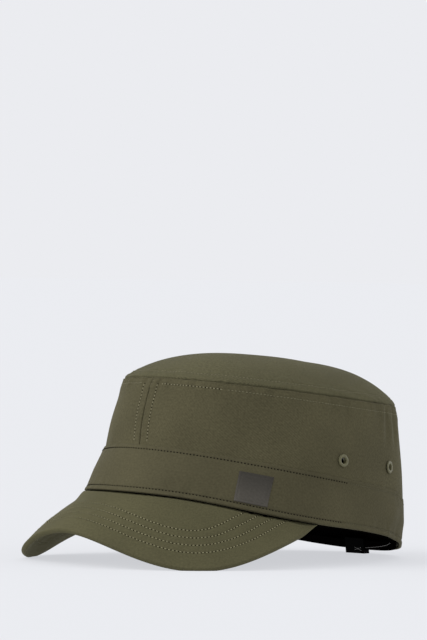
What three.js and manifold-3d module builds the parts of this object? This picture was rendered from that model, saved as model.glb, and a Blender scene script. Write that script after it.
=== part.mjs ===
// A soft army cap: a drum-shaped crown with a centre seam in front and behind, a wide band, and a
// curved cloth-covered peak. Millimetres, +Z up, the peak toward -Y, the wearer's left toward +X.
// The cap rests on the plane z = 0, on the two side corners of its peak and on the strap adjuster
// at its back. The origin is below the middle of its box.
import * as THREE from 'three';
import * as BufferGeometryUtils from 'three/addons/utils/BufferGeometryUtils.js';
import Module from 'manifold-3d';

const wasm = await Module();
wasm.setup();

// Driving dimensions of the crown, measured on the outside of its wall, under the band
const HEM_WIDTH = 158.8;
const HEM_FRONT = 110.4;      // from the ear line to the front of the hem
const HEM_BACK = 108;         // from the ear line to the back of the hem
const BAND_HEIGHT = 29.9;
const CROWN_HEIGHT = 76.2;    // from the hem to the seam of the top panel
const TOP_RISE = 21.3;        // of the top panel, above its seam

// Driving dimensions of the peak
const PEAK_REACH = 32.6;      // forward of the front of the hem
const PEAK_DROP = 40.2;       // of its lowest side corner, below the hem
const PEAK_THICKNESS = 3.3;
const PEAK_CAMBER = 2.4;      // how far it bulges above straight lines from hem to rim
const PEAK_END_ANGLE = 75.7;  // degrees from the front to where it runs out under the hem
const PEAK_END_WIDTH = 4.8;

// Thickness of each layer, and the space that is left between neighbours
const WALL_CLOTH = 1.2;
const TOP_CLOTH = 1.2;
const BAND_CLOTH = 1.4;
const SWEATBAND_CLOTH = 1.2;
const LABEL_CLOTH = 1;
const STRAP_CLOTH = 1.2;
const GAP = 0.3;

const HEM_ROLL_HEIGHT = 3;
const HEM_ROLL_BULGE = 0.6;
const FRONT_SEAM_LEAN = 4.5;      // degrees it has drifted to the wearer's left at the band
const FRONT_SEAM_BOW = 1.9;       // 1 is a straight seam, more is straighter up at its top
const SWEATBAND_HEIGHT = 30;
const SWEATBAND_BELOW_HEM = 0.8;
const SWEATBAND_DROP_ANGLE = 12;  // degrees behind the peak's end over which it comes down

const LABEL_WIDTH = 20.4;
const LABEL_HEIGHT = 18.5;
const LABEL_ANGLE = 54.2;         // degrees from the front, to the wearer's left
const LABEL_ABOVE_HEM = 4.2;

const EYELET_DIAMETER = 8;
const EYELET_BORE = 2.7;
const EYELET_BARREL = 4.6;
const EYELET_FLANGE = 0.9;

const STRAP_WIDTH = 5;
const STRAP_HALF_ANGLE = 48;      // degrees to each side of the back
const STRAP_STAND_OFF = 2.8;      // from the sweatband, where the adjuster sits
const SLIDER_LENGTH = 14;
const SLIDER_BELOW_HEM = 4;
const SLIDER_WALL = 1.1;
const SLIDER_SLACK = 0.9;         // between the strap and each side of the adjuster's slot
const SLIDER_ANGLE = 186.2;       // degrees from the front, just on the wearer's right

const FLATTENED = 0.5;            // how far a cloth corner gives way where it rests
const STEEPEST_LEAN = 40;         // degrees, the most that the resting cap could lean back
const LEAN_STEP = 1e-6;           // radians

// The outside of the crown at three levels: the height and the reach of each level as shares of
// the named sizes, how square its oval is (2 is an ellipse), and how much the level tilts up
// toward the front and curves up toward front and back together, as shares of its height.
const LEVELS = [
  { height: 0, width: 1, front: 1, back: 1, power: 1.93, tilt: 0, saddle: 0 },
  {
    height: BAND_HEIGHT, width: 0.995, front: 0.878, back: 0.893, power: 1.93,
    tilt: -0.046, saddle: 0.046,
  },
  {
    height: CROWN_HEIGHT, width: 0.926, front: 0.83, back: 0.738, power: 2.11,
    tilt: -0.082, saddle: 0.007,
  },
];

// The hem's edge rises and falls a little round the head: waves round it, and the height of
// each as a share of the band's height.
const HEM_WAVES = [
  { waves: 3, height: 0.034 },
  { waves: 4, height: -0.01 },
  { waves: 5, height: -0.017 },
];

// The points that guide the curve of the peak's rim, from its middle toward its end: the curve
// leans toward them without touching them. Each is a share of half the hem's width, of the
// reach from the ear line, and of the peak's drop. The rim ends beside the band.
const PEAK_GUIDES = [
  { side: 0, ahead: 1, drop: 0.658 },
  { side: 0.369, ahead: 1, drop: 0.658 },
  { side: 0.833, ahead: 0.932, drop: 1.052 },
  { side: 1.007, ahead: 0.691, drop: 1.459 },
  { side: 1.252, ahead: 0.492, drop: 0.589 },
];

// The vent rings of one side: degrees from the front, and height as a share of the wall above
// the band.
const EYELETS = [
  { place: 'front', angle: 88, up: 0.2 },
  { place: 'back', angle: 119.5, up: 0.24 },
];

const TOP_RINGS = [1, 0.95, 0.88, 0.78, 0.62, 0.42, 0.2];
const TOP_ROUNDING = 3.5;         // the higher it is, the flatter the top and the tighter its edge

// How the hem's roll bulges: height as a share of the roll, and how much of the bulge it has.
const HEM_ROLL = [
  { up: 0, bulge: 0 },
  { up: 0.3, bulge: 1 },
  { up: 0.8, bulge: 1 },
  { up: 1, bulge: 0 },
];

const COLUMNS = 72;               // facets round the whole cap
const WALL_ROWS = 3;
const PEAK_COLUMNS = 44;
const PEAK_ROWS = 8;
const LABEL_COLUMNS = 6;
const RING_SIDES = 20;
const STRAP_COLUMNS = 28;
const DRILL_LENGTH = 8;
const SMALL_TURN = 0.01;          // radians, or a share of the peak, to find a direction with
const SAME_POINT = 1e-4;          // closer corners are one corner

const BACK = Math.PI;
const FULL_TURN = 2 * Math.PI;
const radians = THREE.MathUtils.degToRad;

const matte = (color, roughness) => (
  new THREE.MeshStandardMaterial({ color, roughness, metalness: 0 }));
const materials = {
  crownCloth: matte(0x524e3b, 0.9),
  topCloth: matte(0x5c5845, 0.9),
  bandCloth: matte(0x4e4a37, 0.9),
  peakCloth: matte(0x5b5842, 0.9),
  blackElastic: matte(0x0b0a08, 0.8),
  blackPlastic: matte(0x0c0c0d, 0.45),
  labelWeave: matte(0x3f403a, 0.7),
  ringPaint: matte(0x5d5a45, 0.5),
};

// Numbers from one value to another in equal steps, both ends included.
const evenly = (count, from, to) => (
  Array.from({ length: count + 1 }, (_, i) => from + (to - from) * (i / count)));

// The value of one named column at a height, straight between the levels.
function levelValue(height, column) {
  const above = LEVELS.findIndex((level) => level.height >= height);
  const upper = LEVELS[Math.max(1, above < 0 ? LEVELS.length - 1 : above)];
  const lower = LEVELS[LEVELS.indexOf(upper) - 1];
  const share = (height - lower.height) / (upper.height - lower.height);
  return lower[column] + (upper[column] - lower[column]) * share;
}

// A point of the level oval at an angle from the front, before any offset.
function ovalPoint(angle, height) {
  const power = 2 / levelValue(height, 'power');
  const ahead = Math.cos(angle);
  const side = Math.sin(angle);
  const frontReach = HEM_FRONT * levelValue(height, 'front');
  const backReach = HEM_BACK * levelValue(height, 'back');
  const reach = ahead > 0 ? frontReach : backReach;
  const halfWidth = HEM_WIDTH / 2 * levelValue(height, 'width');
  return new THREE.Vector2(
    halfWidth * Math.sign(side) * Math.abs(side) ** power,
    -reach * Math.sign(ahead) * Math.abs(ahead) ** power,
  );
}

// The level outward normal of the same oval.
function ovalNormal(angle, height) {
  const next = ovalPoint(angle + SMALL_TURN, height);
  const along = next.sub(ovalPoint(angle - SMALL_TURN, height));
  return new THREE.Vector2(along.y, -along.x).normalize();
}

// How far the hem's edge, or the level at a height, lies above its plain height.
function levelRise(angle, height) {
  const waves = HEM_WAVES.map((wave) => wave.height * Math.cos(wave.waves * angle));
  const hem = BAND_HEIGHT * waves.reduce((sum, wave) => sum + wave, 0);
  const fade = THREE.MathUtils.clamp(1 - height / BAND_HEIGHT, 0, 1);
  const tilt = levelValue(height, 'tilt') * Math.cos(angle);
  const saddle = levelValue(height, 'saddle') * Math.cos(2 * angle);
  return hem * fade + (tilt + saddle) * Math.max(height, BAND_HEIGHT) * (1 - fade);
}

// A point of the crown's side at an angle and height, moved outward by a distance.
function sidePoint(angle, height, outward) {
  const flat = ovalPoint(angle, height).addScaledVector(ovalNormal(angle, height), outward);
  return new THREE.Vector3(flat.x, flat.y, height + levelRise(angle, height));
}

// Makes a geometry from points and triangles, with its faces pointing out.
function closedGeometry(points, triangles) {
  const geometry = new THREE.BufferGeometry();
  geometry.setAttribute('position', new THREE.Float32BufferAttribute(points.flatMap((p) => p.toArray()), 3));
  const volume = triangles.reduce((sum, [a, b, c]) => {
    const edgeProduct = new THREE.Vector3().crossVectors(points[b], points[c]);
    return sum + points[a].dot(edgeProduct);
  }, 0);
  geometry.setIndex(triangles.flatMap(([a, b, c]) => (volume > 0 ? [a, b, c] : [a, c, b])));
  return geometry;
}

// The closed solid between two sheets of points, each a list of rows. A round sheet's rows close
// on themselves; an open sheet gets two end walls. Two poles, one for each sheet, close the last
// row to a point instead of with a wall.
function solidBetween(outer, inner, isRound, poles = []) {
  const rows = outer.length;
  const columns = outer[0].length;
  const last = rows - 1;
  const points = [...outer.flat(), ...inner.flat(), ...poles];
  const at = (sheet, row, column) => (sheet * rows + row) * columns + (column % columns);
  const pole = (sheet) => 2 * rows * columns + sheet;
  const triangles = [];
  const quad = (a, b, c, d) => triangles.push([a, b, c], [a, c, d]);
  const spans = isRound ? columns : columns - 1;
  for (let column = 0; column < spans; column += 1) {
    for (let row = 0; row < last; row += 1) {
      quad(at(0, row, column), at(0, row, column + 1), at(0, row + 1, column + 1), at(0, row + 1, column));
      quad(at(1, row, column), at(1, row + 1, column), at(1, row + 1, column + 1), at(1, row, column + 1));
    }
    quad(at(1, 0, column), at(1, 0, column + 1), at(0, 0, column + 1), at(0, 0, column));
    if (poles.length > 0) {
      triangles.push([at(0, last, column), at(0, last, column + 1), pole(0)]);
      triangles.push([at(1, last, column + 1), at(1, last, column), pole(1)]);
    } else {
      quad(at(0, last, column), at(0, last, column + 1), at(1, last, column + 1), at(1, last, column));
    }
  }
  if (!isRound) {
    const end = columns - 1;
    for (let row = 0; row < last; row += 1) {
      quad(at(1, row, 0), at(0, row, 0), at(0, row + 1, 0), at(1, row + 1, 0));
      quad(at(0, row, end), at(1, row, end), at(1, row + 1, end), at(0, row + 1, end));
    }
  }
  return closedGeometry(points, triangles);
}

function toManifold(geometry) {
  const bare = geometry.clone();
  bare.deleteAttribute('normal');
  bare.deleteAttribute('uv');
  const merged = BufferGeometryUtils.mergeVertices(bare, SAME_POINT);
  return new wasm.Manifold(new wasm.Mesh({
    numProp: 3,
    vertProperties: new Float32Array(merged.attributes.position.array),
    triVerts: new Uint32Array(merged.index.array),
  }));
}

function fromManifold(solid) {
  const mesh = solid.getMesh();
  const geometry = new THREE.BufferGeometry();
  geometry.setAttribute('position', new THREE.BufferAttribute(mesh.vertProperties.slice(), 3));
  geometry.setIndex(new THREE.BufferAttribute(mesh.triVerts.slice(), 1));
  return geometry;
}

// Where a vent ring sits: the middle of the wall's outer face, and the turn that takes the ring's
// own axis to the wall's normal there.
function eyeletPlace(row, side) {
  const height = BAND_HEIGHT + row.up * (CROWN_HEIGHT - BAND_HEIGHT);
  const angle = side * radians(row.angle);
  const reach = EYELET_DIAMETER / 2;
  const up = sidePoint(angle, height + reach, 0).sub(sidePoint(angle, height - reach, 0));
  const next = sidePoint(angle + SMALL_TURN, height, 0);
  const along = next.sub(sidePoint(angle - SMALL_TURN, height, 0));
  const normal = new THREE.Vector3().crossVectors(along, up).normalize();
  const turn = new THREE.Quaternion().setFromUnitVectors(new THREE.Vector3(0, 1, 0), normal);
  return { position: sidePoint(angle, height, 0), turn };
}

// Where the front seam lies at a height: in the middle at the top, drifted aside at the band.
function frontSeam(height) {
  const down = (CROWN_HEIGHT - height) / (CROWN_HEIGHT - BAND_HEIGHT);
  return radians(FRONT_SEAM_LEAN) * Math.min(down, 1) ** FRONT_SEAM_BOW;
}

// One half of the crown's side, from the front seam to the back seam, with its vent holes.
function crownWall(side) {
  const halfGap = (GAP / 2) / (HEM_WIDTH / 2);
  const heights = [GAP, ...evenly(WALL_ROWS, BAND_HEIGHT, CROWN_HEIGHT)];
  const angles = (height) => (
    evenly(COLUMNS / 2, frontSeam(height) + side * halfGap, side * (BACK - halfGap)));
  const sheet = (outward) => (
    heights.map((height) => angles(height).map((angle) => sidePoint(angle, height, outward))));
  const panel = toManifold(solidBetween(sheet(0), sheet(-WALL_CLOTH), false));
  const drilled = EYELETS.reduce((solid, row) => {
    const drillRadius = EYELET_BARREL / 2 + GAP;
    const drill = new THREE.CylinderGeometry(drillRadius, drillRadius, DRILL_LENGTH, RING_SIDES);
    const place = eyeletPlace(row, side);
    drill.applyQuaternion(place.turn);
    drill.translate(...place.position.toArray());
    return solid.subtract(toManifold(drill));
  }, panel);
  return fromManifold(drilled);
}

// The oval top panel: a low dome that comes down to the seam.
function crownTop() {
  const angles = evenly(COLUMNS, 0, FULL_TURN).slice(0, -1);
  const centreHeight = CROWN_HEIGHT + TOP_RISE;
  const ring = (share, outward, lowered) => angles.map((angle) => {
    const rim = sidePoint(angle, CROWN_HEIGHT, outward);
    const rise = TOP_RISE * (1 - share ** TOP_ROUNDING);
    const z = rim.z * share + CROWN_HEIGHT * (1 - share) + rise - lowered * (1 - share ** TOP_ROUNDING);
    return new THREE.Vector3(rim.x * share, rim.y * share, z + GAP);
  });
  const outerRings = TOP_RINGS.map((share) => ring(share, 0, 0));
  const innerRings = TOP_RINGS.map((share) => ring(share, -TOP_CLOTH, TOP_CLOTH));
  const poles = [0, TOP_CLOTH].map((depth) => new THREE.Vector3(0, 0, centreHeight + GAP - depth));
  return solidBetween(outerRings, innerRings, true, poles);
}

// The cloth band round the outside, with the roll of its hem along the lower edge.
function band() {
  const angles = evenly(COLUMNS, 0, FULL_TURN).slice(0, -1);
  const face = GAP + BAND_CLOTH;
  const roll = HEM_ROLL.map(({ up, bulge }) => (
    { height: HEM_ROLL_HEIGHT * up, outward: face + HEM_ROLL_BULGE * bulge }));
  const flat = [BAND_HEIGHT / 2, BAND_HEIGHT].map((height) => ({ height, outward: face }));
  const rows = [...roll, ...flat];
  const outer = rows.map(({ height, outward }) => (
    angles.map((angle) => sidePoint(angle, height, outward))));
  const inner = rows.map(({ height }) => angles.map((angle) => sidePoint(angle, height, GAP)));
  return solidBetween(outer, inner, true);
}

// How far the sweatband's lower edge lies below the hem: nothing over the peak.
function sweatbandDrop(angle) {
  const fromFront = Math.abs(((angle + BACK) % FULL_TURN) - BACK);
  const start = radians(PEAK_END_ANGLE);
  const end = start + radians(SWEATBAND_DROP_ANGLE);
  return SWEATBAND_BELOW_HEM * THREE.MathUtils.smoothstep(fromFront, start, end);
}

const sweatbandFace = -(WALL_CLOTH + GAP);

// The black sweatband round the inside of the head opening.
function sweatband() {
  const angles = evenly(COLUMNS, 0, FULL_TURN).slice(0, -1);
  const heights = [0, SWEATBAND_HEIGHT / 2, SWEATBAND_HEIGHT];
  const sheet = (outward) => heights.map((height, row) => angles.map((angle) => (
    sidePoint(angle, row === 0 ? -sweatbandDrop(angle) : height, outward))));
  return solidBetween(sheet(sweatbandFace), sheet(sweatbandFace - SWEATBAND_CLOTH), true);
}

// The peak's inner edge, tucked under the hem, from end to end (-1 to 1).
function peakRoot(along) {
  const root = sidePoint(along * radians(PEAK_END_ANGLE), 0, -WALL_CLOTH);
  root.z -= GAP;
  return root;
}

// The peak's free rim, in the same order: halving between the guide points in turn gives one
// smooth curve on each side of the middle.
function peakRim(along) {
  const side = Math.sign(along);
  const half = HEM_WIDTH / 2;
  const ahead = HEM_FRONT + PEAK_REACH;
  const guides = PEAK_GUIDES.map((row) => (
    new THREE.Vector3(side * half * row.side, -ahead * row.ahead, -PEAK_DROP * row.drop)));
  const end = sidePoint(side * radians(PEAK_END_ANGLE), 0, PEAK_END_WIDTH - WALL_CLOTH);
  end.z -= GAP;
  let points = [...guides, end];
  while (points.length > 1) {
    const nearer = points.slice(0, -1);
    const further = points.slice(1);
    points = nearer.map((point, i) => point.clone().lerp(further[i], Math.abs(along)));
  }
  return points[0];
}

// A point of the peak's upper face, from its root (0) to its rim (1).
function peakFace(along, out) {
  const point = peakRoot(along).lerp(peakRim(along), out);
  point.z += PEAK_CAMBER * Math.sin(Math.PI * out) * (1 - along ** 2);
  return point;
}

function peakNormal(along, out) {
  const across = peakFace(along + SMALL_TURN, out).sub(peakFace(along - SMALL_TURN, out));
  const outwards = peakFace(along, out + SMALL_TURN).sub(peakFace(along, out - SMALL_TURN));
  return new THREE.Vector3().crossVectors(outwards, across).normalize();
}

function peakSheet(depth) {
  const columns = evenly(PEAK_COLUMNS, -1, 1);
  return evenly(PEAK_ROWS, 0, 1).map((out) => columns.map((along) => {
    const inside = THREE.MathUtils.clamp(along, SMALL_TURN - 1, 1 - SMALL_TURN);
    return peakFace(along, out).addScaledVector(peakNormal(inside, out), -depth);
  }));
}

// A plain woven square on the band.
function label() {
  const middle = radians(LABEL_ANGLE);
  const span = ovalPoint(middle + SMALL_TURN, 0).distanceTo(ovalPoint(middle - SMALL_TURN, 0));
  const half = LABEL_WIDTH / 2 / (span / (2 * SMALL_TURN));
  const angles = evenly(LABEL_COLUMNS, middle - half, middle + half);
  const heights = [LABEL_ABOVE_HEM, LABEL_ABOVE_HEM + LABEL_HEIGHT];
  const back = 2 * GAP + BAND_CLOTH;
  const sheet = (outward) => (
    heights.map((height) => angles.map((angle) => sidePoint(angle, height, outward))));
  return solidBetween(sheet(back + LABEL_CLOTH), sheet(back), false);
}

// A vent ring, about its own Y axis, with y = 0 on the wall's outer face: an outer flange, a
// barrel through the wall, and a narrower inner flange.
function eyelet() {
  const outerLip = EYELET_DIAMETER / 2;
  const innerLip = outerLip - EYELET_FLANGE;
  const barrel = EYELET_BARREL / 2;
  const bore = EYELET_BORE / 2;
  const underFlange = GAP;
  const overInner = -WALL_CLOTH - GAP;
  const profile = [
    [bore, overInner - EYELET_FLANGE],
    [innerLip, overInner - EYELET_FLANGE],
    [innerLip, overInner],
    [barrel, overInner],
    [barrel, underFlange],
    [outerLip, underFlange],
    [outerLip, underFlange + EYELET_FLANGE / 2],
    [(outerLip + bore) / 2, underFlange + EYELET_FLANGE],
    [bore, underFlange + EYELET_FLANGE / 2],
    [bore, overInner - EYELET_FLANGE],
  ].map(([radius, height]) => new THREE.Vector2(radius, height));
  return new THREE.LatheGeometry(profile, RING_SIDES);
}

// How far out the strap's outer face lies at an angle: against the sweatband at its two ends and
// clear of it at the back.
function strapOutward(angle) {
  const share = (angle - BACK) / radians(STRAP_HALF_ANGLE);
  const standOff = STRAP_STAND_OFF * Math.cos(share * Math.PI / 2) ** 2;
  return sweatbandFace - SWEATBAND_CLOTH - GAP - standOff;
}

function backStrap() {
  const reach = radians(STRAP_HALF_ANGLE);
  const angles = evenly(STRAP_COLUMNS, BACK - reach, BACK + reach);
  const heights = [-SWEATBAND_BELOW_HEM, STRAP_WIDTH - SWEATBAND_BELOW_HEM];
  const sheet = (depth) => heights.map((height) => angles.map((angle) => (
    sidePoint(angle, height, strapOutward(angle) - depth))));
  return solidBetween(sheet(0), sheet(STRAP_CLOTH), false);
}

// Where the adjuster sits on the strap: its middle, and the directions out of the strap, up the
// leaning side of the cap, and along the strap.
function sliderPlace() {
  const angle = radians(SLIDER_ANGLE);
  const strapMiddle = (at, height) => sidePoint(at, height, strapOutward(at) - STRAP_CLOTH / 2);
  const low = strapMiddle(angle, -SWEATBAND_BELOW_HEM);
  const high = strapMiddle(angle, STRAP_WIDTH - SWEATBAND_BELOW_HEM);
  const middle = low.clone().lerp(high, 0.5);
  const step = SLIDER_LENGTH / 2 / HEM_BACK;
  const along = strapMiddle(angle + step, 0).sub(strapMiddle(angle - step, 0)).normalize();
  const out = new THREE.Vector3().crossVectors(along, high.sub(low)).normalize();
  const up = out.clone().cross(along);
  return { middle, up, turn: new THREE.Matrix4().makeBasis(out, up, along.negate()) };
}

const sliderBottom = -(STRAP_WIDTH / 2 - SWEATBAND_BELOW_HEM + SLIDER_BELOW_HEM);

// The strap's adjuster: a flat ring round it, about the strap's own direction.
function strapSlider() {
  const slotHalf = new THREE.Vector2(STRAP_CLOTH / 2 + SLIDER_SLACK, STRAP_WIDTH / 2 + 2 * GAP);
  const bodyHalf = slotHalf.x + SLIDER_WALL;
  const top = slotHalf.y + SLIDER_WALL;
  const outline = new THREE.Shape([
    new THREE.Vector2(-bodyHalf, sliderBottom),
    new THREE.Vector2(bodyHalf, sliderBottom),
    new THREE.Vector2(bodyHalf, top),
    new THREE.Vector2(-bodyHalf, top),
  ]);
  outline.holes.push(new THREE.Path([
    new THREE.Vector2(-slotHalf.x, -slotHalf.y),
    new THREE.Vector2(-slotHalf.x, slotHalf.y),
    new THREE.Vector2(slotHalf.x, slotHalf.y),
    new THREE.Vector2(slotHalf.x, -slotHalf.y),
  ]));
  const geometry = new THREE.ExtrudeGeometry(outline, { depth: SLIDER_LENGTH, bevelEnabled: false });
  geometry.translate(0, 0, -SLIDER_LENGTH / 2);
  return geometry;
}

function piece(name, geometry, material) {
  const mesh = new THREE.Mesh(geometry, material);
  mesh.name = name;
  return mesh;
}

const peakGeometry = solidBetween(peakSheet(0), peakSheet(PEAK_THICKNESS), false);
const sliderSeat = sliderPlace();
const slider = piece('strap_slider', strapSlider(), materials.blackPlastic);
slider.position.copy(sliderSeat.middle);
slider.setRotationFromMatrix(sliderSeat.turn);

// Visits every corner of a geometry, and keeps what the visitor does to it.
function eachCorner(geometry, visit) {
  const position = geometry.attributes.position;
  for (let i = 0; i < position.count; i += 1) {
    const point = new THREE.Vector3().fromBufferAttribute(position, i);
    visit(point);
    position.setXYZ(i, point.x, point.y, point.z);
  }
}

// The cap leans back by the angle at which the peak's corners and the adjuster's foot are level.
const heightAt = (point, lean) => point.z * Math.cos(lean) - point.y * Math.sin(lean);
const sliderFoot = sliderSeat.middle.clone().addScaledVector(sliderSeat.up, sliderBottom);
function peakLowest(lean) {
  let height = Infinity;
  eachCorner(peakGeometry, (point) => { height = Math.min(height, heightAt(point, lean)); });
  return height;
}
function restingLean() {
  let low = 0;
  let high = radians(STEEPEST_LEAN);
  while (high - low > LEAN_STEP) {
    const middle = (low + high) / 2;
    if (peakLowest(middle) + FLATTENED < heightAt(sliderFoot, middle)) low = middle;
    else high = middle;
  }
  return (low + high) / 2;
}
const lean = restingLean();
const floorHeight = heightAt(sliderFoot, lean);

// The peak's corners are pressed flat onto the surface, and the adjuster's foot lies flat on it.
const floorNormal = new THREE.Vector3(0, -Math.sin(lean), Math.cos(lean));
eachCorner(peakGeometry, (point) => {
  point.addScaledVector(floorNormal, Math.max(0, floorHeight - point.dot(floorNormal)));
});
eachCorner(slider.geometry, (point) => {
  if (point.y > sliderBottom + GAP) return;
  const placed = point.clone().applyMatrix4(sliderSeat.turn).add(sliderSeat.middle);
  point.y += (floorHeight - placed.dot(floorNormal)) / sliderSeat.up.dot(floorNormal);
});

const cap = new THREE.Group();
cap.add(
  piece('crown_top', crownTop(), materials.topCloth),
  piece('crown_wall_left', crownWall(1), materials.crownCloth),
  piece('crown_wall_right', crownWall(-1), materials.crownCloth),
  piece('band', band(), materials.bandCloth),
  piece('sweatband', sweatband(), materials.blackElastic),
  piece('peak', peakGeometry, materials.peakCloth),
  piece('label', label(), materials.labelWeave),
  piece('back_strap', backStrap(), materials.blackElastic),
  slider,
);
for (const [sideName, side] of [['left', 1], ['right', -1]]) {
  for (const row of EYELETS) {
    const ring = piece(`eyelet_${sideName}_${row.place}`, eyelet(), materials.ringPaint);
    const place = eyeletPlace(row, side);
    ring.position.copy(place.position);
    ring.quaternion.copy(place.turn);
    cap.add(ring);
  }
}

cap.rotation.x = -lean;
cap.position.z = -floorHeight;
cap.updateMatrixWorld(true);
const box = new THREE.Box3().setFromObject(cap, true);
const centre = box.getCenter(new THREE.Vector3());
cap.position.x -= centre.x;
cap.position.y -= centre.y;

const model = new THREE.Group();
model.name = 'army_cap';
model.add(cap);

export default model;
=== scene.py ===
import math
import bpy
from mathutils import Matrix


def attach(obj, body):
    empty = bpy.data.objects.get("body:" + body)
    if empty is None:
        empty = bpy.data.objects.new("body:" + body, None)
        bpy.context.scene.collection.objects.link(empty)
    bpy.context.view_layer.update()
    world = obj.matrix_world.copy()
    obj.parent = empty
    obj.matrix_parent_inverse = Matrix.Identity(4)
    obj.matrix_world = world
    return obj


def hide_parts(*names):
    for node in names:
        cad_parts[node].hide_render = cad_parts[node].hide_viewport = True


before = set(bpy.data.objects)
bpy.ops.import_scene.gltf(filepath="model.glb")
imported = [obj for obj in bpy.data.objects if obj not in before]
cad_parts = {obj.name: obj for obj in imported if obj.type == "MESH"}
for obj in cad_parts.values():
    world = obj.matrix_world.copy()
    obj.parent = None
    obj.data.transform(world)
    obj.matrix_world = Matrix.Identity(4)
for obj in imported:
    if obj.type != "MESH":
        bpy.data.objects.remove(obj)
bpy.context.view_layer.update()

from types import SimpleNamespace

import bpy
import numpy as np
from mathutils import Matrix

# The cap is modelled in its own frame, in millimetres: +Z up through the head, the peak toward -Y,
# the wearer's left toward +X. Angles go round the head from the front to the wearer's left.
# It then leans back and moves to where it rests.
LEAN = math.radians(10.196)
CAP_AT = np.array([0.0, 18.594, 22.428])
MM = 0.001
SMALL_ANGLE = 0.01

# Crown, band and sweatband
HEM_WIDTH, HEM_FRONT, HEM_BACK = 158.8, 110.4, 108.0
BAND_HEIGHT, CROWN_HEIGHT, TOP_RISE = 29.9, 76.2, 21.3
TOP_ROUNDING = 3.5
LEVELS = {
    "height": (0, BAND_HEIGHT, CROWN_HEIGHT),
    "width": (1, 0.995, 0.926),
    "front": (1, 0.878, 0.83),
    "back": (1, 0.893, 0.738),
    "power": (1.93, 1.93, 2.11),
    "tilt": (0, -0.046, -0.082),
    "saddle": (0, 0.046, 0.007),
}
HEM_WAVES = ((3, 0.034), (4, -0.01), (5, -0.017))    # waves round the hem, share of the band's height
WALL_CLOTH, BAND_CLOTH, SWEATBAND_CLOTH = 1.2, 1.2, 1.1
BAND_FACE, SWEATBAND_FACE = 1.7, -1.5                # from the wall's outer face
WALL_FOOT = 4                                        # the walls end behind the band
SWEATBAND_TOP, SWEATBAND_DROP, SWEATBAND_DROP_FRONT = 30, 0.8, 1.6
SWEATBAND_DROP_TURN = (76, 88)
# Rounded edges: how far the cloth draws in, and over which height
HEM_ROUNDING, HEM_ROUNDING_HEIGHT = 1.1, 0.8
BAND_TOP_ROUNDING, BAND_TOP_ROUNDING_HEIGHT = 0.9, 0.7
SWEATBAND_ROUNDING, SWEATBAND_ROUNDING_HEIGHT = 0.35, 0.7

# Soft changes to the plain side: a size, then middle and half width in degrees from the front, and
# then, where it needs one, middle and half width in height
HEM_DRAWN_IN, HEM_DRAWN_IN_TURN = 2.4, (138, 22)
FAR_DRAWN_IN, FAR_DRAWN_IN_TURN = 2.5, (46, 15)      # on the wearer's right only
DRAWN_IN_HEIGHT = 16
FULLNESS, FULLNESS_TURN, FULLNESS_HEIGHT = 1.5, (140, 20), (34, 16)
BAND_DIP, BAND_DIP_TURN, BAND_DIP_HEIGHT = 4.5, (143, 16), (BAND_HEIGHT, 17)

# Seams and rows of stitches
SEAM_LEAN, SEAM_BOW = math.radians(3.7), 2.1
SEAM_ROW_ASIDE = 5.4
TOP_ROW_HEIGHT = 71.4
CORNER = 4.6                 # rounding of the upper corner of the panel that laps over
DOUBLED_CLOTH, DOUBLED_EDGE = 0.28, 0.8              # folded cloth between the seam's two rows
LAP, LAP_EDGE, LAP_WIDTH = 0.3, 0.35, 5
SEAM_GROOVE, SEAM_GROOVE_HALF = 0.65, 0.38
ROW_GROOVE, ROW_GROOVE_HALF = 0.22, 0.7
TUCK = 1.5                   # the walls' upper edge turns in, to the seam of the top panel
TUCK_HEIGHT = 0.8
SEAM_EASE, SEAM_EASE_TURN, FAR_SEAM_EASE = 0.65, (100, 135), 0.6    # where that seam is drawn in less
WALL_ROUNDING, WALL_ROUNDING_REACH = 0.8, 9          # of the walls' upper edge
TOP_PANEL_ROW = 0.942        # share of the way from the middle of the top to its seam
BAND_ROW_HEIGHT, HEM_ROW_HEIGHT = 27.2, 3.2
SEAM_DIMPLE, SEAM_DIMPLE_PITCH = 0.2, 2.3

# Relief of the cloth
# Wide unevenness: how far out, wavelength, seed
WALL_UNEVEN, TOP_UNEVEN = (0.45, 48, 3), (0.5, 52, 11)
BAND_UNEVEN, SWEATBAND_UNEVEN = (0.4, 55, 21), (0.25, 30, 31)
DOUBLED_UNEVEN, TOP_EDGE_UNEVEN = (0.1, 6, 8), (0.2, 7, 12)
PEAK_UNEVEN_UPPER, PEAK_UNEVEN_LOWER = (0.25, 40, 41), (0.25, 40, 51)
PEAK_ROW_UNEVEN_UPPER, PEAK_ROW_UNEVEN_LOWER = (0.14, 5, 42), (0.14, 5, 52)
# It grows over these distances from an edge, or heights
WALL_CALM_TOP, WALL_CALM_FOOT = (0, 14), (26, 40)
BAND_CALM_HEM, BAND_CALM_TOP = (4, 14), (0, 8)
TOP_CALM_EDGE, SWEATBAND_CALM_FOOT, PEAK_CALM_RIM = (0, 22), (2, 10), (0, 12)
# Forms: middle height, half width, how far out
WALL_FORMS = ((BAND_HEIGHT, 14, 0.7), (47, 16, 1.3), (TOP_ROW_HEIGHT, 0.75, -0.26))
BAND_FORMS = ((BAND_ROW_HEIGHT, 0.6, -0.25), (HEM_ROW_HEIGHT, 0.5, -0.5), (1.4, 1.6, 0.35))
# Puckers beside a seam: middle height, half width, wavelength, share of it upward, seed, how far out
WALL_PUCKERS = ((CROWN_HEIGHT - 4, 5, 6.5, 0.25, 5, 0.4), (BAND_HEIGHT, 6, 8, 0.3, 6, 0.12))
BAND_PUCKERS = ((BAND_ROW_HEIGHT, 5, 6, 0.3, 22, 0.13), (HEM_ROW_HEIGHT, 5, 5.5, 0.3, 23, 0.16))
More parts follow.
